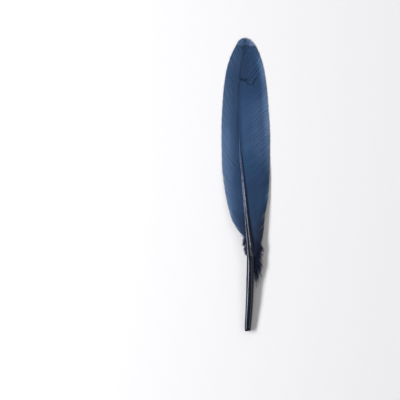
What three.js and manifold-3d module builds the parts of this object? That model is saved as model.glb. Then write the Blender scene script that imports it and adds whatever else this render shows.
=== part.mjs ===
// Goose quill feather, lying on its concave side with its arched back up.
// Millimetres. +Y runs from the cut quill end to the tip, +X to the wide vane, +Z up.
// The shaft, both vanes and the down at their foot grew as one piece, so they are one solid.

import * as THREE from 'three';
import { mergeVertices } from 'three/addons/utils/BufferGeometryUtils.js';
import Module from 'manifold-3d';

// Driving sizes of the feather.
const FEATHER_LENGTH = 176;
const QUILL_END_Y = -FEATHER_LENGTH / 2;
const TIP_Y = FEATHER_LENGTH / 2;
const RACHIS_END_Y = TIP_Y - 1.6;

// Shaft: its sideways bow, its height over the surface, its width and its squareness, by Y.
const SHAFT_X = [[-88, 1.5], [-66, 2.5], [-46, 2.8], [-24, 1.0], [0, -1.3], [22, -3.3], [46, -4.35], [66, -3.2],
  [88, -0.4]];
const SHAFT_Z = [[-88, 1.88], [-66, 3.2], [-40, 4.6], [-10, 5.4], [20, 5.1], [45, 3.9], [68, 2.1], [88, 0.75]];
const SHAFT_WIDTH = [[-88, 3.3], [-86.8, 3.8], [-76, 4.4], [-58, 4.7], [-36, 4.0], [-14, 2.9], [12, 2.0],
  [44, 1.3], [88, 0.8]];
const SHAFT_DEPTH = [[-88, 3.4], [-86.8, 3.9], [-58, 4.6], [-36, 4.1], [-14, 3.2], [12, 2.5], [44, 1.9],
  [70, 1.3], [88, 1.0]];
const SHAFT_SQUARENESS = [[-88, 2], [-55, 2.1], [-30, 2.8], [20, 3.2], [88, 2.6]];
const SHAFT_SIDES = 16;
const SHAFT_RINGS = 40;
const SHAFT_RING_CROWDING = 1.3;

// The open bore at the cut end of the hollow quill.
const BORE_RADIUS = 1.15;
const BORE_DEPTH = 6;

// Vanes: root Y of a barb on the shaft, and the X and Y of its tip on the vane's edge.
const LEADING_VANE = {
  side: -1,
  barbs: [[-33.5, -1.6, -32.5], [-31.5, -5.2, -27], [-29, -8.2, -21.5], [-25, -10.8, -12.5], [-16, -13.0, -0.5],
    [-4, -14.3, 12], [15, -14.55, 32], [36, -13.6, 53], [52, -11.8, 67], [64, -9.3, 76], [73.5, -6.6, 81.8],
    [81.5, -3.4, 86.6], [86.2, -0.7, 88]],
  edgeHeight: [[-33, 4.4], [-20, 2.7], [0, 1.1], [20, 0.225], [76, 0.225], [88, 0.6]],
  locks: 38,
};
const TRAILING_VANE = {
  side: 1,
  barbs: [[-44, 7.0, -43], [-41.5, 9.5, -38], [-36, 10.7, -29], [-28, 11.8, -18.5], [-18, 13.7, -7],
    [-4, 14.6, 10], [14, 14.65, 28], [34, 13.75, 46], [50, 12.5, 60], [62, 10.8, 70.5], [72, 8.4, 78.3],
    [80, 5.2, 84.6], [86.2, 0.1, 88]],
  edgeHeight: [[-43, 3.4], [-20, 1.9], [0, 0.9], [20, 0.225], [76, 0.225], [88, 0.6]],
  locks: 42,
};
const VANE_SPANS = 5;
const VANE_CAMBER_POWER = 1.7;
const VANE_THICKNESS_AT_SHAFT = 0.75;
const VANE_THICKNESS_AT_EDGE = 0.45;
const LOCK_STEP = 0.11;
const LOCK_TIP_STAGGER = 0.35;
const RIPPLE_HEIGHT = 0.22;
const RIPPLE_LENGTH = 27;

// Fissures in the wide vane below the tip, as the corners of each narrow slot.
const FISSURES = [
  [[-3.2, 62.7], [0.9, 62.6], [1.9, 60.0], [0.3, 61.8]],
  [[3.9, 59.6], [5.3, 61.2], [6.2, 63.4], [4.6, 61.7]],
];

// Down at the foot of the vanes: root Y on the shaft, tip X, tip Y and tip Z of each lock.
const DOWN_LOCKS = [
  [-39, 10.9, -39.5, 2.4], [-41, 11.0, -43, 1.5], [-42.5, 10.3, -46, 3.2], [-44, 10.6, -49.5, 1.3],
  [-45.5, 9.4, -51.5, 3.4], [-47, 9.8, -55, 1.4], [-48.5, 8.6, -56.5, 2.8], [-50, 8.4, -60, 1.4],
  [-51, 6.6, -61.5, 2.2], [-37, -1.9, -35.5, 3.4], [-40.5, -1.5, -41.5, 2.8],
];
const DOWN_LOCK_WIDTH = 2.8;
const DOWN_LOCK_DEPTH = 1.4;

// Smooth value at one place along a list of stations, each a place and the values there.
// The curve never swings past its stations.
function valueAt(stations, place, column = 1) {
  const last = stations.length - 1;
  if (place <= stations[0][0]) return stations[0][column];
  if (place >= stations[last][0]) return stations[last][column];
  let i = 0;
  while (place > stations[i + 1][0]) i += 1;
  const rise = (k) => (stations[k + 1][column] - stations[k][column]) / (stations[k + 1][0] - stations[k][0]);
  const slope = (k) => {
    const before = rise(Math.max(k - 1, 0));
    const after = rise(Math.min(k, last - 1));
    return before * after > 0 ? (2 * before * after) / (before + after) : 0;
  };
  const span = stations[i + 1][0] - stations[i][0];
  const t = (place - stations[i][0]) / span;
  const t2 = t * t;
  const t3 = t2 * t;
  return stations[i][column] * (2 * t3 - 3 * t2 + 1)
    + slope(i) * span * (t3 - 2 * t2 + t)
    + stations[i + 1][column] * (3 * t2 - 2 * t3)
    + slope(i + 1) * span * (t3 - t2);
}

// Moves each corner of a geometry and returns it as a closed solid.
function solidFrom(geometry, movePoint) {
  geometry.deleteAttribute('normal');
  geometry.deleteAttribute('uv');
  const places = geometry.getAttribute('position');
  const point = new THREE.Vector3();
  for (let i = 0; i < places.count; i += 1) {
    point.fromBufferAttribute(places, i);
    movePoint(point);
    places.setXYZ(i, point.x, point.y, point.z);
  }
  const merged = mergeVertices(geometry, 1e-4);
  return new kernel.Manifold(new kernel.Mesh({
    numProp: 3,
    vertProperties: new Float32Array(merged.getAttribute('position').array),
    triVerts: new Uint32Array(merged.getIndex().array),
  }));
}

// Shaft: round at the quill, squarer and finer towards the tip, its rings closest at the cut end.
function shaftPoint(point) {
  const y = THREE.MathUtils.lerp(QUILL_END_Y, RACHIS_END_Y, (point.y + 0.5) ** SHAFT_RING_CROWDING);
  const rim = Math.min(1, Math.hypot(point.x, point.z));
  const turn = Math.atan2(point.x, point.z);
  const power = 2 / valueAt(SHAFT_SQUARENESS, y);
  const across = Math.sign(Math.sin(turn)) * Math.abs(Math.sin(turn)) ** power;
  const up = Math.sign(Math.cos(turn)) * Math.abs(Math.cos(turn)) ** power;
  point.set(
    valueAt(SHAFT_X, y) + across * rim * valueAt(SHAFT_WIDTH, y) / 2,
    y,
    valueAt(SHAFT_Z, y) + up * rim * valueAt(SHAFT_DEPTH, y) / 2,
  );
}

// Height of a vane's middle surface: level by the shaft, drooping along the barb to the edge.
function vaneHeight(vane, share, y) {
  const atShaft = valueAt(SHAFT_Z, y) + 0.22 * valueAt(SHAFT_DEPTH, y);
  const ripple = RIPPLE_HEIGHT * Math.sin((2 * Math.PI * y) / RIPPLE_LENGTH) * 4 * share * (1 - share);
  return atShaft + (valueAt(vane.edgeHeight, y) - atShaft) * share ** VANE_CAMBER_POWER + ripple;
}

// Vane: a thin cambered sheet of locks, each a band of barbs with a step up from the last.
function vaneSolid(vane) {
  const rows = vane.locks * 2 - 1;
  const sheet = new THREE.BoxGeometry(1, 1, 1, VANE_SPANS, rows, 1);
  const firstRoot = vane.barbs[0][0];
  const lastRoot = vane.barbs[vane.barbs.length - 1][0];
  return solidFrom(sheet, (point) => {
    const row = Math.round((point.y + 0.5) * rows);
    const lock = Math.floor(row / 2);
    const lockEnd = row % 2;
    const rootY = THREE.MathUtils.lerp(firstRoot, lastRoot, (lock + 0.06 + 0.88 * lockEnd) / vane.locks);
    const root = new THREE.Vector2(valueAt(SHAFT_X, rootY) - 0.12 * vane.side, rootY);
    const tip = new THREE.Vector2(valueAt(vane.barbs, rootY, 1), valueAt(vane.barbs, rootY, 2));
    const stagger = LOCK_TIP_STAGGER * Math.sin(lock * 2.4) * (lockEnd ? 1 : 0.4);
    tip.y = Math.min(TIP_Y, tip.y + stagger);
    const bend = new THREE.Vector2(
      THREE.MathUtils.lerp(root.x, tip.x, 0.6),
      THREE.MathUtils.lerp(root.y, tip.y, 0.42),
    );
    const share = 0.5 + point.x * vane.side;
    const middle = new THREE.QuadraticBezierCurve(root, bend, tip).getPoint(share);
    const thickness = THREE.MathUtils.lerp(VANE_THICKNESS_AT_SHAFT, VANE_THICKNESS_AT_EDGE, share);
    const step = LOCK_STEP * (1 - 2 * lockEnd) * Math.sin(Math.PI * Math.min(1, share + 0.15));
    const underside = vaneHeight(vane, share, middle.y) - thickness / 2;
    point.set(middle.x, middle.y, point.z < 0 ? underside : underside + thickness + step);
  });
}

// Down: a soft tapering lock bent from the shaft to its tip.
function downLock([rootY, tipX, tipY, tipZ]) {
  const side = Math.sign(tipX - valueAt(SHAFT_X, rootY));
  const start = new THREE.Vector3(
    valueAt(SHAFT_X, rootY) + side * valueAt(SHAFT_WIDTH, rootY) * 0.25,
    rootY,
    valueAt(SHAFT_Z, rootY) + 0.3,
  );
  const bend = new THREE.Vector3(THREE.MathUtils.lerp(start.x, tipX, 0.65), rootY + 1.5, start.z + 0.2);
  const path = new THREE.QuadraticBezierCurve3(start, bend, new THREE.Vector3(tipX, tipY, tipZ));
  const lock = new THREE.CylinderGeometry(1, 1, 1, 6, 5);
  return solidFrom(lock, (point) => {
    const along = 0.5 - point.y;
    const centre = path.getPoint(along);
    const heading = path.getTangent(along);
    const sideways = new THREE.Vector3(heading.y, -heading.x, 0).normalize();
    const fullness = Math.sin(Math.PI * (0.16 + 0.76 * along));
    const acrossHere = point.x * fullness * DOWN_LOCK_WIDTH / 2;
    const aboveHere = point.z * fullness * DOWN_LOCK_DEPTH / 2;
    point.copy(centre).addScaledVector(sideways, -acrossHere);
    point.z += aboveHere;
  });
}

// Bore of the hollow quill, open at the cut end and rounded at its blind end.
function quillBore() {
  const profile = [
    new THREE.Vector2(0, -1),
    new THREE.Vector2(BORE_RADIUS, -1),
    new THREE.Vector2(BORE_RADIUS, BORE_DEPTH - BORE_RADIUS),
    new THREE.Vector2(BORE_RADIUS * 0.7, BORE_DEPTH - BORE_RADIUS * 0.3),
    new THREE.Vector2(0, BORE_DEPTH),
  ];
  const bore = new THREE.LatheGeometry(profile, 16);
  return solidFrom(bore, (point) => {
    const y = QUILL_END_Y + point.y;
    point.x += valueAt(SHAFT_X, y);
    point.z += valueAt(SHAFT_Z, y);
    point.y = y;
  });
}

// Fissure: a narrow pointed slot cut down through the vane.
function fissureCut(corners) {
  const slot = new THREE.Shape(corners.map(([x, y]) => new THREE.Vector2(x, y)));
  return solidFrom(new THREE.ExtrudeGeometry(slot, { depth: 12, bevelEnabled: false }), () => {});
}

const kernel = await Module();
kernel.setup();

let solid = solidFrom(new THREE.CylinderGeometry(1, 1, 1, SHAFT_SIDES, SHAFT_RINGS), shaftPoint);
solid = solid.subtract(quillBore());
let trailing = vaneSolid(TRAILING_VANE);
for (const corners of FISSURES) trailing = trailing.subtract(fissureCut(corners));
solid = solid.add(trailing).add(vaneSolid(LEADING_VANE));
for (const lock of DOWN_LOCKS) solid = solid.add(downLock(lock));

const mesh = solid.getMesh();
const geometry = new THREE.BufferGeometry();
geometry.setAttribute('position', new THREE.BufferAttribute(mesh.vertProperties, 3));
geometry.setIndex(new THREE.BufferAttribute(mesh.triVerts, 1));
geometry.computeVertexNormals();

const dyedVane = new THREE.MeshStandardMaterial({ color: 0x43608a, roughness: 0.55, metalness: 0 });
const feather = new THREE.Mesh(geometry, dyedVane);
feather.name = 'feather';

const part = new THREE.Group();
part.name = 'goose_quill_feather';
part.add(feather);

export default part;
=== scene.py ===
import math

import bpy
import numpy as np
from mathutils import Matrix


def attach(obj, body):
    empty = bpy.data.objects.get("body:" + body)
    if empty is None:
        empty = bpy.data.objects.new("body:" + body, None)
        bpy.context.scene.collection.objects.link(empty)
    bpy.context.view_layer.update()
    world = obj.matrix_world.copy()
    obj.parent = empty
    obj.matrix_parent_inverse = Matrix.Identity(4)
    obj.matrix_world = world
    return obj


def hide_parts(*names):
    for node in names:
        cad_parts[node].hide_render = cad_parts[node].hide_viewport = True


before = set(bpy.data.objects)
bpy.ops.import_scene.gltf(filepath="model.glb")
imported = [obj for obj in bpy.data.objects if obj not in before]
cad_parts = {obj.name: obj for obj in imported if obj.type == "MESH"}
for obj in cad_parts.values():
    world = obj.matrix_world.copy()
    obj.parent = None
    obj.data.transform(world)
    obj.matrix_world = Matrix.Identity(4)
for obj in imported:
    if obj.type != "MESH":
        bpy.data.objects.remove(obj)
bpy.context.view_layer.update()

MM = 0.001
chance = np.random.default_rng(1907)

# --- Driving stations of the feather -------------------------------------------------------------
# The vanes' edges are the solid's, a little fuller at the tip. The shaft runs up to 0.3 mm beside the
# solid's and is thinner towards the tip.

TIP_Y = 88.0
QUILL_END_Y = -88.0
SHAFT_END_Y = 87.2
SHAFT_X = [(-88, 1.2), (-66, 2.45), (-46, 2.8), (-24, 0.78), (0, -1.56), (22, -3.5), (46, -4.42), (66, -3.25),
           (88, -0.4)]
SHAFT_Z = [(-88, 1.88), (-66, 3.2), (-40, 4.6), (-10, 5.4), (20, 5.1), (45, 3.9), (68, 2.1), (88, 0.75)]
SHAFT_WIDTH = [(-88, 3.3), (-86.8, 3.8), (-76, 4.4), (-58, 4.7), (-36, 3.95), (-14, 2.5), (12, 1.55),
               (44, 0.9), (66, 0.5), (88, 0.25)]
SHAFT_DEPTH = [(-88, 3.4), (-86.8, 3.9), (-58, 4.6), (-36, 4.1), (-14, 3.2), (12, 2.5), (44, 1.8),
               (70, 1.0), (88, 0.4)]
SHAFT_SQUARENESS = [(-88, 2.5), (-70, 2.4), (-50, 2.1), (-30, 2.8), (20, 2.6), (88, 2.4)]
BACK_SQUARENESS = 2.05
# Sine of the angle that the back leans to the left where it mirrors the left light.
SHINE_LEAN = 0.42

# The cut end of the quill is uneven, which fades over about this length.
CUT_FADE = 0.8
# So the first rings of the quill lie close together, this far from the cut.
CUT_RINGS = [0.0, 0.05, 0.15, 0.35, 0.7, 1.2]
# The rounded rim of the cut: how far each ring lies in from the outside, and how far it moves along Y.
CUT_RIM = [(0.03, -0.03), (0.09, -0.055), (0.18, -0.065), (0.3, -0.05), (0.38, -0.01)]
# The open bore of the hollow quill: how deep each ring lies, and its radius.
BORE = [(0.07, 1.2), (0.2, 1.15), (1.0, 1.13), (2.4, 1.12), (4.0, 1.1), (4.4, 1.02), (4.7, 0.82), (4.9, 0.5),
        (5.0, 0.02)]

# Between these two Y the webs close over the thin shaft.
CLOSING_Y = (14, 30)

# Root Y of a barb on the shaft, then the X and Y of its tip on the vane's edge.
LEADING_BARBS = [
    (-33.5, -1.6, -32.5), (-31.5, -5.2, -27), (-29, -8.2, -21.5), (-25, -10.8, -12.5), (-16, -13.0, -0.5),
    (-4, -14.3, 12), (15, -14.55, 32), (36, -13.6, 53), (52, -11.8, 67), (64, -9.3, 76), (73.5, -6.6, 81.8),
    (81, -3.6, 86.9), (83.8, -2.1, 87.6), (86.2, -0.7, 88),
]
LEADING_EDGE_HEIGHT = [(-33, 4.4), (-20, 2.7), (0, 1.1), (20, 0.225), (76, 0.225), (88, 0.6)]
LEADING_LOOSE_Y = -31
TRAILING_BARBS = [
    (-44, 7.0, -43), (-41.5, 9.5, -38), (-36, 10.7, -29), (-28, 11.8, -18.5), (-18, 13.7, -7), (-4, 14.6, 10),
    (14, 14.65, 28), (31, 13.75, 46), (44, 12.5, 60), (54, 10.8, 70.5), (62, 8.4, 78.3), (70, 5.3, 84.3),
    (76, 3.0, 86.8), (81, 1.4, 87.5), (86.2, 0.1, 88),
]
TRAILING_EDGE_HEIGHT = [(-43, 3.4), (-20, 1.9), (0, 0.9), (20, 0.225), (76, 0.225), (88, 0.6)]
TRAILING_LOOSE_Y = -36
VANE_CAMBER_POWER = 1.7
RIPPLE_HEIGHT = 0.22
RIPPLE_LENGTH = 27.0
# The webs grow no wider where the barbs spread further apart than this.
WIDEST_WEB = 0.76
# Round a barb's blade: share of the barbs' spacing across, then height in mm.
BLADE_PROFILE = [(-0.72, -0.035), (-0.14, 0.015), (0.0, 0.075), (0.14, 0.03), (0.72, 0.045), (0.0, -0.13)]

# Nothing on the shaft, the vanes or the down reaches lower than this.
SHAFT_FLOOR = 0.005
VANE_FLOOR = 0.02
DOWN_FLOOR = 0.03

# A zigzag crack where the feather was once bent: X and Y of each corner, and how far it gapes there.
CRACK = [(-5.2, 61.0, 0.25), (-3.4, 61.3, 0.35), (-2.6, 62.4, 0.75), (0.3, 62.2, 0.8), (0.9, 60.8, 0.35),
         (1.6, 59.8, 0.25), (2.8, 59.6, 0.05), (4.2, 59.7, 0.3), (5.2, 61.4, 0.4), (6.2, 63.1, 0.3),
         (7.4, 64.2, 0.0)]

# The pale cap at the tip starts here, past a fault bar that grew across the vane.
CAP_Y = 82.6

# How pale each vane is along its length, darker towards the foot, and how much paler still at its outer half
# and its edge. The paler edges are partly worn dye and partly painted sheen, and the wide vane's paler outer
# half is painted light where its arch turns it from the left light.
NARROW_TONE = [(-33, 0.08), (-24, 0.27), (-12, 0.40), (20, 0.43), (50, 0.43), (68, 0.39), (88, 0.38)]
# Worn dye and painted sheen: the narrow vane's edge is painted paler.
NARROW_EDGE_SHEEN_AND_WEAR = [(-33, 0.1), (-12, 0.15), (6, 0.16), (25, 0.19), (36, 0.13), (47, 0.11), (60, 0.08),
                    (74, 0.13), (88, 0.04)]
WIDE_TONE = [(-44, 0.06), (-36, 0.11), (-30, 0.155), (-24, 0.225), (-12, 0.28), (-3, 0.27), (6, 0.37),
            (15, 0.455), (24, 0.5), (47, 0.48), (57, 0.37), (68, 0.3), (80, 0.31), (88, 0.34)]
# Painted light: the wide vane's outer half is painted paler where its arch turns it from the left light; near
# the foot it is darker.
WIDE_OUTER_PAINTED_LIGHT = [(-44, 0), (-30, -0.09), (-22, 0), (-12, 0.1), (-3, 0.06), (24, 0.05), (36, 0.07),
                   (47, 0.04), (56, 0.03), (68, 0.06), (80, 0.02), (88, 0)]
# Worn dye and painted sheen: the wide vane's edge is painted paler; near the foot it is darker.
WIDE_EDGE_SHEEN_AND_WEAR = [(-44, 0), (-28, -0.07), (-22, -0.03), (-17, 0.04), (-12, 0.13), (-7, 0.3), (-2.3, 0.22),
                  (3, 0.07), (11, 0.17), (24, 0.23), (36, 0.38), (47, 0.3), (56, 0.32), (69, 0.4), (80, 0.12),
                  (88, 0)]

# Where the fluffy down at the foot of the vanes ends: root Y, then tip X, Y and Z.
DOWN_TIPS = [
    (-51, 6.6, -61.5, 2.2), (-50, 8.4, -60, 1.4), (-48.5, 8.8, -56.5, 2.4), (-47, 9.7, -55, 1.4),
    (-45.5, 9.7, -51.5, 2.8), (-44, 10.5, -49.5, 1.4), (-42.5, 10.5, -46, 2.6), (-41, 10.9, -43, 1.6),
    (-39, 10.9, -39.5, 2.4),
]
DOWN_EDGE_X = 10.9
# How many barbs of down there are on each side, and how many rings each has.
WIDE_SIDE_DOWN = 170
NARROW_SIDE_DOWN = 26
DOWN_RINGS = 14
FILAMENTS_IN_ROW = 42
FILAMENT_RADIUS = 0.035
# Corners of a filament: 0 to 2 round its base, 3 to 5 round its middle, 6 its point.
FILAMENT_FACES = [(0, 2, 1), (0, 1, 4), (0, 4, 3), (1, 2, 5), (1, 5, 4), (2, 0, 3), (2, 3, 5),
                  (3, 4, 6), (4, 5, 6), (5, 3, 6)]


def value_at(stations, place, column=1):
    """Smooth values along the stations that never swing past them."""
    at = np.array([s[0] for s in stations], float)
    value = np.array([s[column] for s in stations], float)
    place = np.clip(np.asarray(place, float), at[0], at[-1])
    rise = np.diff(value) / np.diff(at)
    before, after = rise[:-1], rise[1:]
    level = before * after <= 0
    between = np.where(level, 0.0, 2 * before * after / np.where(level, 1.0, before + after))
    slope = np.concatenate([rise[:1], between, rise[-1:]])
    i = np.clip(np.searchsorted(at, place, side="right") - 1, 0, len(at) - 2)
    span = at[i + 1] - at[i]
    t = (place - at[i]) / span
    return (value[i] * (2 * t**3 - 3 * t**2 + 1) + slope[i] * span * (t**3 - 2 * t**2 + t)
            + value[i + 1] * (3 * t**2 - 2 * t**3) + slope[i + 1] * span * (t**3 - t**2))


def ease(start, end, place):
    """0 before start, 1 after end, and a soft rise between. With start past end it falls instead."""
    t = np.clip((np.asarray(place, float) - start) / (end - start), 0, 1)
    return t * t * (3 - 2 * t)


def soft_wander(places, lengths, size):
    """A smooth irregular wander along the places, made of a few waves of the given lengths."""
    wander = np.zeros_like(places, float)
    for length in lengths:
        wander += np.sin(places * 2 * math.pi / length + chance.uniform(0, 2 * math.pi))
    return size * wander / math.sqrt(len(lengths))


def curve_to(start, bend, end, t):
    """Points of a smooth curve from start to end that leans towards its bend."""
    return (1 - t) ** 2 * start + 2 * t * (1 - t) * bend + t**2 * end


# --- Meshes --------------------------------------------------------------------------------------

def piece_from(name, corners_mm, faces, finish, uv=None, wear_and_light=None):
    """Makes one piece of the feather from corners in millimetres, its faces, and how pale it is painted, both
    from its dye and from painted light and shade.
    """
    mesh = bpy.data.meshes.new(name)
    faces = np.asarray(faces, np.int32)
    sides = faces.shape[1]
    mesh.vertices.add(len(corners_mm))
    mesh.vertices.foreach_set("co", (np.asarray(corners_mm) * MM).astype(np.float32).ravel())
    mesh.loops.add(faces.size)
    mesh.loops.foreach_set("vertex_index", faces.ravel())
    mesh.polygons.add(len(faces))
    mesh.polygons.foreach_set("loop_start", np.arange(0, faces.size, sides, dtype=np.int32))
    mesh.polygons.foreach_set("use_smooth", np.ones(len(faces), bool))
    if uv is not None:
        layer = mesh.uv_layers.new(name="along_barb")
        layer.data.foreach_set("uv", np.asarray(uv, np.float32)[faces.ravel()].ravel())
    if wear_and_light is not None:
        layer = mesh.attributes.new("dye_and_painted_light", "FLOAT", "POINT")
        layer.data.foreach_set("value", np.asarray(wear_and_light, np.float32).ravel())
    mesh.update()
    mesh.validate()
    mesh.materials.append(finish)
    piece = bpy.data.objects.new(name, mesh)
    bpy.context.scene.collection.objects.link(piece)
    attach(piece, "root")
    return piece


def tube_faces(rings, sides):
    """Quads round a tube of rings, open at both ends."""
    ring = np.arange(rings - 1)[:, None] * sides
    side = np.arange(sides)[None, :]
    onward = (side + 1) % sides
    quads = np.stack([ring + side, ring + onward, ring + sides + onward, ring + sides + side], axis=-1)
    return quads.reshape(-1, 4)


def many_tubes(corners):
    """Joins tubes given as [tube, ring, side, xyz] into one set of corners and quads, closed at both ends."""
    tubes, rings, sides = corners.shape[:3]
    first = [[k, sides - 1 - k, sides - 2 - k, k + 1] for k in range(sides // 2 - 1)]
    last = [[(rings - 1) * sides + c for c in reversed(q)] for q in first]
    one = np.concatenate([np.array(first), np.array(last), tube_faces(rings, sides)])
    shift = (np.arange(tubes) * rings * sides)[:, None, None]
    return corners.reshape(-1, 3), (one[None] + shift).reshape(-1, 4)


# --- Quill and shaft -----------------------------------------------------------------------------

def round_ridge(across, shine, radius):
    """How far a round ridge has sunk below its top, in half widths of the shaft.

    The ridge is placed by where the left light shines back from it.
    """
    middle = shine + SHINE_LEAN * radius
    return np.sqrt(np.maximum(radius**2 - (across - middle) ** 2, 0)) - radius


def two_ridges(across, y):
    """Height of the shaft's back between the vanes: two rounded ridges with a crease between them."""
    towards_quill = ease(-19, -24, y)
    left = round_ridge(across, -0.57 - 0.05 * towards_quill, 0.6 + 0.18 * towards_quill)
    right_shine = 0.26 - 0.08 * ease(-23, -18, y)
    right = round_ridge(across, right_shine, 0.13 + 0.92 * ease(-40, -32, y))
    height = np.maximum(left, right)
    # Right of the right ridge the back has a flat shoulder.
    return np.where(across > right_shine, np.maximum(height, -0.16), height)


def cut_end_rings(outer_ring, turn, cut):
    """Rings of the cut's rounded rim and of the open bore, from the outside inwards."""
    centre = np.array([value_at(SHAFT_X, QUILL_END_Y), QUILL_END_Y, value_at(SHAFT_Z, QUILL_END_Y)])
    rings = []
    for inset, forward in CUT_RIM:
        ring = outer_ring.copy()
        toward = centre - ring
        toward[:, 1] = 0
        ring += toward / np.linalg.norm(toward, axis=1)[:, None] * inset
        ring[:, 1] += forward
        rings.append(ring)
    for depth, radius in BORE:
        bore_y = QUILL_END_Y + depth
        rings.append(np.stack([
            value_at(SHAFT_X, bore_y) + radius * np.sin(turn),
            bore_y + cut * math.exp(-depth / CUT_FADE),
            value_at(SHAFT_Z, bore_y) + radius * np.cos(turn),
        ], axis=-1))
    return rings


def shaft_piece(finish):
    """Round hollow quill that turns into a squarish grooved shaft, open at its cut end."""
    sides, rings_along = 144, 300
    y = np.concatenate([
        QUILL_END_Y + np.array(CUT_RINGS),
        np.linspace(QUILL_END_Y + 2, SHAFT_END_Y, rings_along),
    ])
    turn = np.linspace(0, 2 * math.pi, sides, endpoint=False)[None, :]
    on_back = np.cos(turn) > 0
    feathered = ease(-46, -30, y)[:, None]
    # The underside is squarer than the back.
    square = value_at(SHAFT_SQUARENESS, y)[:, None]
    power = 2 / np.where(on_back, square + (BACK_SQUARENESS - square) * feathered, square)
    across = np.sign(np.sin(turn)) * np.abs(np.sin(turn)) ** power
    up = np.sign(np.cos(turn)) * np.abs(np.cos(turn)) ** power
    half_width = value_at(SHAFT_WIDTH, y)[:, None] / 2
    half_depth = value_at(SHAFT_DEPTH, y)[:, None] / 2
    # The underside of the shaft has a groove.
    groove = 0.3 * feathered * half_depth * np.exp(-((turn - math.pi) / 0.3) ** 2)
    # The ridges of the back blend into the round quill below and into the thin shaft above.
    ridged = (ease(-47, -38, y) * ease(26, 12, y))[:, None] * on_back * (1 - across**16)
    sunk = ridged * (up * half_depth - half_depth - half_width * two_ridges(across, y[:, None]))
    # Dried horn has faint lengthwise ridges and slight swellings.
    fibres = 0.006 * np.sin(turn * 7 + 1.3 * np.sin(y / 13.0)[:, None])
    fibres = fibres + 0.002 * np.sin(turn * 17 + 2.1 * np.sin(y / 9.0 + 2.0)[:, None])
    swelling = 1 + 0.006 * np.sin(y / 3.7)[:, None] + 0.006 * np.sin(y / 1.9 + 1.0)[:, None]
    x = value_at(SHAFT_X, y)[:, None] + across * (half_width * swelling + fibres)
    z = value_at(SHAFT_Z, y)[:, None] + up * (half_depth * swelling + fibres) + groove - sunk
    outside = np.stack([x, np.broadcast_to(y[:, None], x.shape), np.maximum(z, SHAFT_FLOOR)], axis=-1)
    # The cut end is a little uneven.
    cut = 0.16 + 0.11 * np.sin(turn[0] * 2 + 0.6) + 0.05 * np.sin(turn[0] * 3)
    outside[:, :, 1] += cut * np.exp(-(y - QUILL_END_Y) / CUT_FADE)[:, None]
    cut_end = cut_end_rings(outside[0], turn[0], cut)
    # The far end closes in a small blunt point.
    tip = outside[-1].copy()
    for axis in (0, 2):
        middle = tip[:, axis].mean()
        tip[:, axis] = middle + (tip[:, axis] - middle) * 0.05
    tip[:, 1] += 0.3
    shell = np.concatenate([np.array(cut_end[::-1]), outside, tip[None]])
    uv = np.stack([
        np.broadcast_to(turn / (2 * math.pi), shell.shape[:2]),
        shell[:, :, 1] / UV_LENGTH + 1,
    ], axis=-1)
    # Painted sheen: the left half of the shaft's back along the upper half of the vanes is painted paler, up
    # to its dark right edge, in place of the left light's broad shine.
    painted_shine = (ease(-20, -12, y) * ease(21, 12, y))[:, None]
    painted_shine = painted_shine * ease(-1.0, -0.85, across) * ease(0.35, 0.1, across) * on_back
    wear_and_light = np.zeros(shell.shape[:2])
    wear_and_light[len(cut_end):-1] = painted_shine
    # The cut rim is painted paler, a painted highlight where its lip catches the light.
    wear_and_light[len(cut_end) - len(CUT_RIM):len(cut_end)] = 1
    corners, faces = many_tubes(shell[None])
    return piece_from("quill_and_shaft", corners, faces, finish, uv.reshape(-1, 2), wear_and_light)


# --- Vanes ---------------------------------------------------------------------------------------

def barb_ends(side, barbs, roots, loose):
    """X of each barb's root beside the shaft, and X and Y of its tip at the vane's edge."""
    count = len(roots)
    # Towards the tip the webs close over the thin shaft and leave it in a crease.
    beside = 0.38 - 0.26 * ease(*CLOSING_Y, roots)
    root_x = value_at(SHAFT_X, roots) + side * beside * value_at(SHAFT_WIDTH, roots)
    # The tips end a little unevenly, come loose at the foot and fray at the feather's tip.
    tip_x = value_at(barbs, roots, 1) + side * soft_wander(roots, (5.1, 2.3, 1.1), 0.07)
    tip_y = value_at(barbs, roots, 2) + soft_wander(roots, (3.9, 1.7, 0.9), 0.12)
    tip_y = tip_y + chance.normal(0, 0.06, count)
    tip_x = tip_x - side * loose * chance.uniform(0, 1, count) ** 2 * 0.45 * np.abs(tip_x - root_x)
    tip_y = tip_y - loose * chance.uniform(0, 3.0, count)
    frayed = ease(80, 86, tip_y)
    tip_y = np.minimum(tip_y - frayed * chance.uniform(0.0, 0.5, count), TIP_Y - 0.02)
    return root_x, tip_x, tip_y


def vane_height(side, edge_height, y, t):
    """Height of the arched vane with its ripple, and with the low fold along the shaft near the tip."""
    at_shaft = value_at(SHAFT_Z, y) + (0.22 + 0.26 * ease(*CLOSING_Y, y)) * value_at(SHAFT_DEPTH, y)
    ripple = RIPPLE_HEIGHT * np.sin(2 * math.pi * y / RIPPLE_LENGTH) * 4 * t * (1 - t)
    fold = 0.14 * ease(15, 45, y) if side < 0 else 0.1 * ease(44, 52, y)
    arch = (value_at(edge_height, y) - at_shaft) * t**VANE_CAMBER_POWER
    return at_shaft + arch + ripple + fold * np.exp(-((t - 0.1) / 0.08) ** 2)


def from_crack(x, y):
    """How far each point lies from the crack, and how far the crack gapes there, in mm."""
    nearest = np.full(np.shape(x), 99.0)
    gape = np.zeros(np.shape(x))
    for (ax, ay, a_gape), (bx, by, b_gape) in zip(CRACK, CRACK[1:]):
        run = (bx - ax, by - ay)
        part = np.clip(((x - ax) * run[0] + (y - ay) * run[1]) / (run[0]**2 + run[1]**2), 0, 1)
        gap = np.hypot(x - ax - part * run[0], y - ay - part * run[1])
        closer = gap < nearest
        nearest = np.where(closer, gap, nearest)
        gape = np.where(closer, a_gape + part * (b_gape - a_gape), gape)
    return nearest, gape


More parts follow.
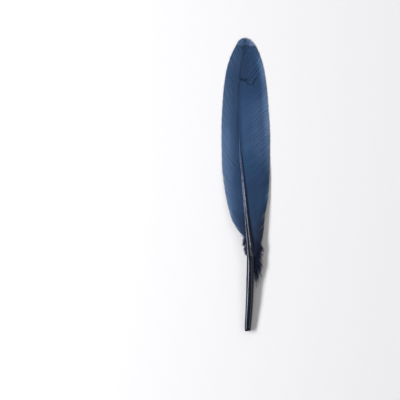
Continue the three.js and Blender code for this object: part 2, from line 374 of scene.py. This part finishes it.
def crack_shape(x, y):
    """Height of the crack's groove and of its bent-up lip, how far off the crack is and how far it gapes."""
    count = len(x)
    # The crack jumps where one clump of barbs broke off shorter than the next.
    clump = np.repeat(chance.normal(0, 0.34, count // 4 + 1), 4)[:count, None]
    crack_y = y + clump + chance.normal(0, 0.06, (count, 1))
    off, gape = from_crack(x, crack_y)
    gape = gape * np.repeat(chance.uniform(0.6, 1.15, count // 5 + 1), 5)[:count, None]
    # Only the lip on the tip's side is bent up.
    tip_side = ease(-0.2, 0.5, crack_y - value_at([c[:2] for c in CRACK], x))
    lip = 0.5 * np.exp(-((off - 0.8) / 0.45) ** 2) * tip_side
    return gape * (lip - np.exp(-(off / 0.3) ** 2)), off, gape


def cap_line(x):
    """Where the fault bar below the cap runs across the vane: lower on the wide side and a little wavy."""
    return CAP_Y - 0.5 * ease(-2, 6, x) + 0.18 * np.sin(1.1 * x + 0.7) + 0.1 * np.sin(2.7 * x)


def dye_and_painted_light(side, t, x, y, off, gape):
    """How pale a vane is painted, 0 darkest and 1 palest: its dye's own tone and wear together with painted
    light and shade.
    """
    if side < 0:
        # The narrow vane's edge is painted paler: worn dye and painted sheen.
        wear_and_light = value_at(NARROW_TONE, y) + value_at(NARROW_EDGE_SHEEN_AND_WEAR, y) * ease(0.0, 0.95, t)
    else:
        # The wide vane's outer half is painted paler, painted light where its arch turns from the left light,
        # and its edge is paler with worn dye and painted sheen.
        wear_and_light = value_at(WIDE_TONE, y) + value_at(WIDE_OUTER_PAINTED_LIGHT, y) * ease(0.25, 0.6, t)
        wear_and_light = wear_and_light + value_at(WIDE_EDGE_SHEEN_AND_WEAR, y) * ease(0.68, 1.0, t)
        # Its outer part is darker towards the foot.
        wear_and_light = wear_and_light - 0.08 * ease(-14, -26, y) * t**2
        # Above the bare part of the shaft the roots of the barbs are painted darker, a painted shade of its
        # crease.
        wear_and_light = wear_and_light - 0.22 * ease(14, 24, y) * np.exp(-(t / 0.055) ** 2)
    beyond = y - cap_line(x)
    blotches = 0.05 * np.sin(1.7 * x + 2) * np.sin(1.3 * y)
    wear_and_light = wear_and_light + ease(0.1, 1.2, beyond) * (0.16 + 0.14 * ease(-1, 3, x) + blotches)
    wear_and_light = wear_and_light - (0.1 + 0.1 * ease(3, -1, x)) * np.exp(-(beyond / 0.35) ** 2)
    # The crack is painted darker, a painted shade where little light reaches into it.
    return np.clip(wear_and_light * (1 - np.minimum(1.6 * gape, 0.72) * np.exp(-(off / 0.42) ** 2)), 0, 1)


def blade_ways(centre):
    """At each point of the barbs, the way to the next barb and the way straight out of the vane's back."""
    count = len(centre)
    barb = np.arange(count)
    ahead, behind = np.minimum(barb + 4, count - 1), np.maximum(barb - 4, 0)
    across = (centre[ahead] - centre[behind]) / (ahead - behind)[:, None, None]
    across *= np.minimum(1, WIDEST_WEB / np.linalg.norm(across, axis=-1, keepdims=True))
    upward = np.cross(across, np.gradient(centre, axis=1))
    upward *= np.sign(upward[..., 2:3])
    upward /= np.linalg.norm(upward, axis=-1, keepdims=True)
    return across, upward


def web_share(t, y, loose, length):
    """How much of its full width the web of each barb has along the barb."""
    count = len(y)
    # Webs end in a free point at the vane's edge. The loose ones at the foot taper over most of their length.
    point_from = 0.955 - 0.75 * loose[:, None]
    web = 1 - (0.72 + 0.2 * loose[:, None]) * ease(point_from, 1.0, t)
    # Past the fault bar they are worn, and at the foot they are thin.
    web *= 1 - ease(CAP_Y, CAP_Y + 2, y) * ease(0.5, 1.0, t) * chance.uniform(0.0, 0.35, (count, 1))
    web *= 1 - (loose * chance.uniform(0.3, 0.75, count))[:, None] * ease(0.1, 0.7, t)
    # The shortest barbs at the foot are the thinnest.
    return web * (1 - loose[:, None] * (1 - np.clip(length / 6, 0.25, 1))[:, None])


def vane_piece(name, side, barbs, edge_height, loose_y, count, steps, finish):
    """A vane of separate barbs, each a thin closed blade with a raised rib and overlapping webs."""
    roots = np.linspace(barbs[0][0], barbs[-1][0], count)
    spacing = roots[1] - roots[0]
    # A ring close to the root keeps the shine of the blade's blunt end off its back.
    t = np.concatenate([[0, 0.002], np.linspace(0, 1, steps + 1)[1:]])[None, :]
    loose = ease(loose_y, barbs[0][0], roots)
    root_x, tip_x, tip_y = barb_ends(side, barbs, roots, loose)
    bend_x = root_x + 0.6 * (tip_x - root_x)
    bend_y = roots + 0.42 * (tip_y - roots)
    x = curve_to(root_x[:, None], bend_x[:, None], tip_x[:, None], t)
    y = curve_to(roots[:, None], bend_y[:, None], tip_y[:, None], t)
    z = vane_height(side, edge_height, y, t)
    # Bands of barbs lie slightly higher or lower than their neighbours, most of all above the crack.
    band = soft_wander(roots, (9.7, 4.3, 2.1), 0.04) + chance.normal(0, 0.01, count)
    above_crack = ease(60, 63, y) * ease(82, 74, y)
    z += band[:, None] * (0.8 + 0.7 * above_crack) * np.sin(math.pi * t) ** 0.7
    z += (loose * chance.normal(-0.1, 0.3, count))[:, None] * t
    dent, off, gape = crack_shape(x, y)
    z += dent
    # The fault bar below the cap is a shallow dent across the whole vane.
    z -= 0.12 * np.exp(-((y - cap_line(x)) / 0.35) ** 2)

    centre = np.stack([x, y, z], axis=-1)
    across, upward = blade_ways(centre)
    web = web_share(t, y, loose, np.hypot(tip_x - root_x, tip_y - roots))
    slender = 1 - 0.75 * loose[:, None] * t
    rib = 1 - 0.7 * t
    blade = []
    for part, height in BLADE_PROFILE:
        thinning = 0.35 + 0.65 * rib if part == 0 else 0.6 + 0.4 * rib
        rise = height * slender * thinning
        blade.append(centre + across * (part * web)[..., None] + upward * rise[..., None])
    blade = np.stack(blade, axis=2)
    blade[..., 2] = np.maximum(blade[..., 2], VANE_FLOOR)

    parts = np.array([part for part, height in BLADE_PROFILE])
    u = (roots[:, None, None] + parts * spacing * web[..., None]) / UV_LENGTH + 1
    v = np.broadcast_to(t[..., None], u.shape)
    wear_and_light = dye_and_painted_light(side, t, x, y, off, gape) + chance.normal(0, 0.012, (count, 1))
    # Bands that lie higher are painted paler and lower ones darker above the crack: painted light and shade.
    wear_and_light = np.clip(wear_and_light + 0.4 * band[:, None] * above_crack, 0, 1)
    wear_and_light = np.broadcast_to(wear_and_light[..., None], u.shape)
    corners, faces = many_tubes(blade)
    # The wide side mirrors the narrow one, so its faces run the other way round to look outwards.
    faces = faces[:, ::-side]
    return piece_from(name, corners, faces, finish, np.stack([u, v], -1).reshape(-1, 2), wear_and_light)


# --- Down ----------------------------------------------------------------------------------------

def down_barb_paths():
    """Curling paths of the loose downy barbs, most of them on the wide side."""
    barbs = WIDE_SIDE_DOWN + NARROW_SIDE_DOWN
    hand = np.concatenate([np.ones(WIDE_SIDE_DOWN), -np.ones(NARROW_SIDE_DOWN)])
    root_y = np.concatenate([
        -51.5 + 18.5 * chance.uniform(0, 1, WIDE_SIDE_DOWN) ** 1.15,
        chance.uniform(-42, -32, NARROW_SIDE_DOWN),
    ])
    reach = chance.uniform(0.4, 1.0, barbs) ** 0.7
    tip = np.stack([value_at(DOWN_TIPS, root_y, column) for column in (1, 2, 3)], axis=-1)
    root = np.stack([
        value_at(SHAFT_X, root_y) + hand * 0.42 * value_at(SHAFT_WIDTH, root_y),
        root_y,
        value_at(SHAFT_Z, root_y) + chance.uniform(-1.0, 0.7, barbs),
    ], axis=-1)
    short_tip = root + np.stack([
        -chance.uniform(0.8, 2.6, barbs) * (0.3 + 0.7 * ease(-42, -34, root_y)),
        chance.uniform(-4.5, 0.5, barbs),
        -chance.uniform(0.2, 1.6, barbs),
    ], axis=-1)
    tip = root + (tip - root) * reach[:, None] + chance.normal(0, (0.3, 1.1, 0.45), (barbs, 3))
    tip = np.where(hand[:, None] > 0, tip, short_tip)
    tip[:, 0] = np.minimum(tip[:, 0], DOWN_EDGE_X)
    bend = root + (tip - root) * 0.6
    bend[:, 1] = root_y + chance.uniform(0.3, 2.5, barbs) * np.where(hand > 0, 1, 0.3)
    bend[:, 2] = root[:, 2] + chance.normal(-0.1, 0.5, barbs)
    t = np.linspace(0, 1, DOWN_RINGS)[None, :, None]
    path = curve_to(root[:, None], bend[:, None], tip[:, None], t)
    curl = chance.uniform(0, 2 * math.pi, (barbs, 1, 1))
    return t, path + 0.22 * t * np.concatenate([
        np.sin(9 * t + curl), np.cos(7 * t + curl), np.sin(8 * t + 2 * curl)], axis=-1)


def down_filaments(path, heading, sideways, upward):
    """Thin three-sided spikes in two rows on every barb, leaning to the barb's tip."""
    place = (np.arange(FILAMENTS_IN_ROW) + 0.5) / FILAMENTS_IN_ROW * (DOWN_RINGS - 1)
    low = np.minimum(place.astype(int), DOWN_RINGS - 2)
    part = (place - low)[None, :, None]
    base, ahead, side, lift = (values[:, low] * (1 - part) + values[:, low + 1] * part
                               for values in (path, heading, sideways, upward))
    # They get shorter towards the barb's tip.
    shorter = 1 - 0.5 * (place / DOWN_RINGS)[None, :, None]
    spikes = []
    for row in (-1, 1):
        long = chance.uniform(0.9, 1.9, (len(path), FILAMENTS_IN_ROW, 1)) * shorter
        out = row * side * chance.uniform(0.6, 1.0, long.shape) + ahead * chance.uniform(0.3, 0.9, long.shape)
        out = out + lift * chance.normal(0, 0.45, long.shape)
        out /= np.linalg.norm(out, axis=-1, keepdims=True)
        droop = chance.normal(0, 0.18, long.shape) * lift + ahead * 0.25
        middle = base + out * long * 0.5
        end = base + out * long + droop * long
        left, right = 0.5 * ahead - 0.87 * row * lift, 0.5 * ahead + 0.87 * row * lift
        round_it = [way * FILAMENT_RADIUS for way in (-ahead, left, right)]
        spike = [base + way for way in round_it] + [middle + 0.8 * way for way in round_it] + [end]
        spikes.append(np.stack(spike, axis=2).reshape(-1, 7, 3))
    spikes = np.concatenate(spikes)
    spikes[..., 2] = np.maximum(spikes[..., 2], DOWN_FLOOR)
    return spikes


def down_piece(finish):
    """Loose downy barbs at the foot of the vanes, each with two rows of fine free filaments."""
    t, path = down_barb_paths()
    heading = np.gradient(path, axis=1)
    heading /= np.linalg.norm(heading, axis=-1, keepdims=True)
    sideways = np.cross(heading, (0, 0, 1.0))
    sideways /= np.linalg.norm(sideways, axis=-1, keepdims=True)
    upward = np.cross(sideways, heading)

    # Barb stems: four-sided threads that taper almost to nothing.
    thick = 0.09 * (1 - t) ** 0.6 + 0.015
    stems = np.stack([path + thick * (math.cos(a) * sideways - math.sin(a) * upward)
                      for a in (0, math.pi / 2, math.pi, 3 * math.pi / 2)], axis=2)
    stems[..., 2] = np.maximum(stems[..., 2], DOWN_FLOOR)
    corners, faces = many_tubes(stems)
    faces = np.concatenate([faces[:, [0, 1, 2]], faces[:, [0, 2, 3]]])

    spikes = down_filaments(path, heading, sideways, upward)
    first_corner = len(corners) + spikes.shape[1] * np.arange(len(spikes))
    spike_faces = (first_corner[:, None, None] + np.array(FILAMENT_FACES)).reshape(-1, 3)
    corners = np.concatenate([corners, spikes.reshape(-1, 3)])
    faces = np.concatenate([faces, spike_faces])
    return piece_from("down_at_foot", corners, faces, finish)


# --- Finishes ------------------------------------------------------------------------------------
# Keratin, the horn that barbs, quill and down are made of, has an IOR of 1.54 and no metal in it.

KERATIN_IOR = 1.54
# Along the shaft the UV coordinates of the vanes and of the shaft itself have this many mm to a unit.
UV_LENGTH = 100.0
# Seven streaks of uneven dye lie side by side in 10 mm of a vane, and its clouds are much wider.
STREAK_WIDTH = 10 / 7
CLOUD_WIDTH = 12.5
# The quill is 14 mm round, with 34 fibres of the horn side by side.
QUILL_ROUND = 14.0
FIBRE_WIDTH = QUILL_ROUND / 34
FIBRE_LENGTH = 20.0
# Three tufts of down lie side by side in 10 mm.
TUFT_WIDTH = 10 / 3


def linear_from_hex(code):
    """Linear colour of an sRGB hex value."""
    channels = [int(code[i:i + 2], 16) / 255 for i in (1, 3, 5)]
    return tuple(c / 12.92 if c <= 0.04045 else ((c + 0.055) / 1.055) ** 2.4 for c in channels) + (1.0,)


def add_node(tree, kind, settings=None, inputs=None, links=None):
    """Adds a node with its settings, its input values and the sockets that feed it."""
    made = tree.nodes.new(kind)
    for key, value in (settings or {}).items():
        setattr(made, key, value)
    for key, value in (inputs or {}).items():
        made.inputs[key].default_value = value
    for key, source in (links or {}).items():
        tree.links.new(source, made.inputs[key])
    return made


def new_finish(name):
    finish = bpy.data.materials.new(name)
    finish.use_nodes = True
    finish.node_tree.nodes.clear()
    return finish, finish.node_tree


def dyed_barbs():
    """Acid-dyed feather keratin, grown as fine barbs: satin slate blue, because the barbs scatter the light.

    It is navy where its paleness attribute is low and greyer where it is high; that attribute holds the dye's
    own tone and wear and also painted light and shade.
    """
    finish, tree = new_finish("dyed_barb_keratin")
    place = add_node(tree, "ShaderNodeTexCoord")
    uv = add_node(tree, "ShaderNodeUVMap", {"uv_map": "along_barb"})
    wear_and_light = add_node(tree, "ShaderNodeAttribute", {"attribute_name": "dye_and_painted_light"})
    # Streaks run along the barbs for about half their length. Real ones are as thin as a barb, and these
    # are drawn three or four barbs wide to show.
    stretched = add_node(tree, "ShaderNodeMapping", inputs={"Scale": (UV_LENGTH / STREAK_WIDTH, 2.0, 1.0)},
                         links={"Vector": uv.outputs[0]})
    streaks = add_node(tree, "ShaderNodeTexNoise", {"noise_dimensions": "2D"},
                       {"Scale": 1.0, "Detail": 3.0, "Roughness": 0.6}, {"Vector": stretched.outputs[0]})
    # Clouds of uneven dye lean a little to violet or to teal.
    clouds = add_node(tree, "ShaderNodeTexNoise",
                      inputs={"Scale": 1 / (CLOUD_WIDTH * MM), "Detail": 2.0, "Roughness": 0.5},
                      links={"Vector": place.outputs["Object"]})
    hue = add_node(tree, "ShaderNodeMapRange", inputs={"From Min": 0.35, "From Max": 0.65},
                   links={"Value": clouds.outputs["Fac"]})
    dye = add_node(tree, "ShaderNodeMix", {"data_type": "RGBA"}, links={"Factor": hue.outputs[0]})
    dye.inputs["A"].default_value = linear_from_hex("#25436C")
    dye.inputs["B"].default_value = linear_from_hex("#21466C")
    # Through the paleness attribute, painted light and shade darken the dye towards navy or pale it towards
    # grey.
    dark_share = add_node(tree, "ShaderNodeMapRange", inputs={"From Min": 0.0, "From Max": 0.45},
                    links={"Value": wear_and_light.outputs["Fac"]})
    darkened = add_node(tree, "ShaderNodeMix", {"data_type": "RGBA"},
                      links={"Factor": dark_share.outputs[0], "B": dye.outputs["Result"]})
    darkened.inputs["A"].default_value = linear_from_hex("#101430")
    thin = add_node(tree, "ShaderNodeMapRange", inputs={"From Min": 0.45, "From Max": 1.0},
                    links={"Value": wear_and_light.outputs["Fac"]})
    paler = add_node(tree, "ShaderNodeMix", {"data_type": "RGBA"},
                     links={"Factor": thin.outputs[0], "A": darkened.outputs["Result"]})
    paler.inputs["B"].default_value = linear_from_hex("#7B9AC5")
    tone = add_node(tree, "ShaderNodeMapRange",
                    inputs={"From Min": 0.3, "From Max": 0.7, "To Min": 0.91, "To Max": 1.05},
                    links={"Value": streaks.outputs["Fac"]})
    toned = add_node(tree, "ShaderNodeHueSaturation",
                     links={"Color": paler.outputs["Result"], "Value": tone.outputs[0]})
    shader = add_node(tree, "ShaderNodeBsdfPrincipled", inputs={
        "Roughness": 0.52, "IOR": KERATIN_IOR, "Sheen Weight": 0.2, "Sheen Roughness": 0.45,
    }, links={"Base Color": toned.outputs[0]})
    shader.inputs["Sheen Tint"].default_value = linear_from_hex("#8FA3D6")
    # The film of dye on the barbs gives their shine a slightly teal cast.
    shader.inputs["Specular Tint"].default_value = (0.79, 0.96, 1.0, 1.0)
    add_node(tree, "ShaderNodeOutputMaterial", links={"Surface": shader.outputs[0]})
    return finish


def dyed_quill():
    """Dyed quill horn: smooth hard keratin, near-black navy, glossy enough for long clean lights."""
    finish, tree = new_finish("dyed_quill_horn")
    place = add_node(tree, "ShaderNodeTexCoord")
    at = add_node(tree, "ShaderNodeSeparateXYZ", links={"Vector": place.outputs["Object"]})
    uv = add_node(tree, "ShaderNodeUVMap", {"uv_map": "along_barb"})
    # Fibres of the horn run lengthwise.
    stretched = add_node(tree, "ShaderNodeMapping",
                         inputs={"Scale": (QUILL_ROUND / FIBRE_WIDTH, UV_LENGTH / FIBRE_LENGTH, 1.0)},
                         links={"Vector": uv.outputs[0]})
    fibres = add_node(tree, "ShaderNodeTexNoise", {"noise_dimensions": "2D"},
                      {"Scale": 1.0, "Detail": 4.0, "Roughness": 0.6}, {"Vector": stretched.outputs[0]})
    dark = add_node(tree, "ShaderNodeMix", {"data_type": "RGBA"}, links={"Factor": fibres.outputs["Fac"]})
    dark.inputs["A"].default_value = linear_from_hex("#07080E")
    dark.inputs["B"].default_value = linear_from_hex("#171A29")
    # Between the vanes the shaft gradually turns as blue as they are.
    blue = add_node(tree, "ShaderNodeMapRange", {"interpolation_type": "SMOOTHSTEP"},
                    {"From Min": -36 * MM, "From Max": 22 * MM}, {"Value": at.outputs["Y"]})
    dye = add_node(tree, "ShaderNodeMix", {"data_type": "RGBA"},
                   links={"Factor": blue.outputs[0], "A": dark.outputs["Result"]})
    dye.inputs["B"].default_value = linear_from_hex("#263E60")
    # The horn is painted paler where the attribute says so: a painted sheen on the left half of the shaft's
    # back and a painted highlight on the cut rim.
    wear_and_light = add_node(tree, "ShaderNodeAttribute", {"attribute_name": "dye_and_painted_light"})
    painted_shine = add_node(tree, "ShaderNodeMix", {"data_type": "RGBA"},
                      links={"Factor": wear_and_light.outputs["Fac"], "A": dye.outputs["Result"]})
    painted_shine.inputs["B"].default_value = linear_from_hex("#3A4258")
    # Its thin end is as dull as the vanes are.
    slim = add_node(tree, "ShaderNodeMapRange", {"interpolation_type": "SMOOTHSTEP"},
                    {"From Min": 8 * MM, "From Max": 22 * MM}, {"Value": at.outputs["Y"]})
    gloss = add_node(tree, "ShaderNodeMapRange", inputs={"To Min": 0.1, "To Max": 0.16},
                     links={"Value": fibres.outputs["Fac"]})
    dulled = add_node(tree, "ShaderNodeMix", {"data_type": "FLOAT"},
                      links={"Factor": slim.outputs[0], "A": gloss.outputs[0]})
    dulled.inputs["B"].default_value = 0.6
    bump = add_node(tree, "ShaderNodeBump", inputs={"Strength": 0.03, "Distance": 0.1 * MM},
                    links={"Height": fibres.outputs["Fac"]})
    shader = add_node(tree, "ShaderNodeBsdfPrincipled", inputs={"IOR": KERATIN_IOR}, links={
        "Base Color": painted_shine.outputs["Result"], "Roughness": dulled.outputs[0], "Normal": bump.outputs[0]})
    # The film of dye on the horn gives its lights a lavender cast.
    shader.inputs["Specular Tint"].default_value = (0.82, 0.86, 1.0, 1.0)
    add_node(tree, "ShaderNodeOutputMaterial", links={"Surface": shader.outputs[0]})
    return finish


def dyed_down():
    """Dyed down: fine free filaments that took the dye deepest and lie too loose to shine, so it is matte."""
    finish, tree = new_finish("dyed_down")
    place = add_node(tree, "ShaderNodeTexCoord")
    # Tufts a few millimetres across took the dye unevenly.
    clouds = add_node(tree, "ShaderNodeTexNoise", inputs={"Scale": 1 / (TUFT_WIDTH * MM), "Detail": 2.0},
                      links={"Vector": place.outputs["Object"]})
    dye = add_node(tree, "ShaderNodeMix", {"data_type": "RGBA"}, links={"Factor": clouds.outputs["Fac"]})
    dye.inputs["A"].default_value = linear_from_hex("#0C1834")
    dye.inputs["B"].default_value = linear_from_hex("#1A2F58")
    shader = add_node(tree, "ShaderNodeBsdfPrincipled",
                      inputs={"Roughness": 0.8, "IOR": KERATIN_IOR, "Sheen Weight": 0.1},
                      links={"Base Color": dye.outputs["Result"]})
    shader.inputs["Sheen Tint"].default_value = linear_from_hex("#7F95D6")
    add_node(tree, "ShaderNodeOutputMaterial", links={"Surface": shader.outputs[0]})
    return finish


def white_paper():
    """Plain white backdrop paper, matte, so that the feather's shadow is soft."""
    finish, tree = new_finish("white_backdrop_paper")
    shader = add_node(tree, "ShaderNodeBsdfPrincipled", inputs={"Roughness": 0.9})
    shader.inputs["Base Color"].default_value = linear_from_hex("#F8F6F3")
    add_node(tree, "ShaderNodeOutputMaterial", links={"Surface": shader.outputs[0]})
    return finish


# --- Build the feather ---------------------------------------------------------------------------

barb_finish = dyed_barbs()
shaft = shaft_piece(dyed_quill())
vane_piece("leading_vane", -1, LEADING_BARBS, LEADING_EDGE_HEIGHT, LEADING_LOOSE_Y,
           count=290, steps=28, finish=barb_finish)
vane_piece("trailing_vane", 1, TRAILING_BARBS, TRAILING_EDGE_HEIGHT, TRAILING_LOOSE_Y,
           count=320, steps=34, finish=barb_finish)
down_piece(dyed_down())
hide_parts("feather")

# --- Surface, light and camera, in metres --------------------------------------------------------

PAPER_REACH = 1.5
paper = bpy.data.meshes.new("paper")
paper_corners = [(PAPER_REACH * x, PAPER_REACH * y, 0) for x, y in ((-1, -1), (1, -1), (1, 1), (-1, 1))]
paper.from_pydata(paper_corners, [], [(0, 1, 2, 3)])
paper.materials.append(white_paper())
paper_sheet = bpy.data.objects.new("paper_sheet", paper)
bpy.context.scene.collection.objects.link(paper_sheet)


def softbox(name, place, width, height, power):
    """A soft rectangular light that faces the feather, the colour of a slightly overcast window."""
    lamp = bpy.data.lights.new(name, "AREA")
    lamp.color = (0.92, 0.94, 1.0)
    lamp.shape = "RECTANGLE"
    lamp.size, lamp.size_y = width, height
    lamp.energy = power
    holder = bpy.data.objects.new(name, lamp)
    holder.location = place
    holder.rotation_euler = (-holder.location).to_track_quat("-Z", "Y").to_euler()
    bpy.context.scene.collection.objects.link(holder)


softbox("left_light", (-0.95, 0.0, 0.78), 1.1, 0.26, 16.3)
# The left light is brighter in its middle, where its tube sits.
softbox("left_light_middle", (-0.94, 0.0, 0.772), 0.27, 0.26, 2.2)
softbox("right_light", (0.85, 0.0, 1.0), 1.1, 0.6, 2.6)
softbox("tip_light", (0.0, 1.3, 0.9), 2.0, 0.8, 4)

room = bpy.data.worlds.new("room")
room.use_nodes = True
room.node_tree.nodes["Background"].inputs["Color"].default_value = (1, 1, 1, 1)
room.node_tree.nodes["Background"].inputs["Strength"].default_value = 0.19
bpy.context.scene.world = room
bpy.context.scene.view_settings.view_transform = "Standard"

# The view is straight down. Its middle lies left of the feather and a little below it.
VIEW_WIDTH = 240 * MM
VIEW_MIDDLE = (-27.3 * MM, -9.5 * MM)
camera_data = bpy.data.cameras.new("overhead")
camera_data.lens = 135
camera_data.sensor_width = 36
camera = bpy.data.objects.new("overhead", camera_data)
camera.location = (*VIEW_MIDDLE, VIEW_WIDTH * camera_data.lens / camera_data.sensor_width)
bpy.context.scene.collection.objects.link(camera)
bpy.context.scene.camera = camera
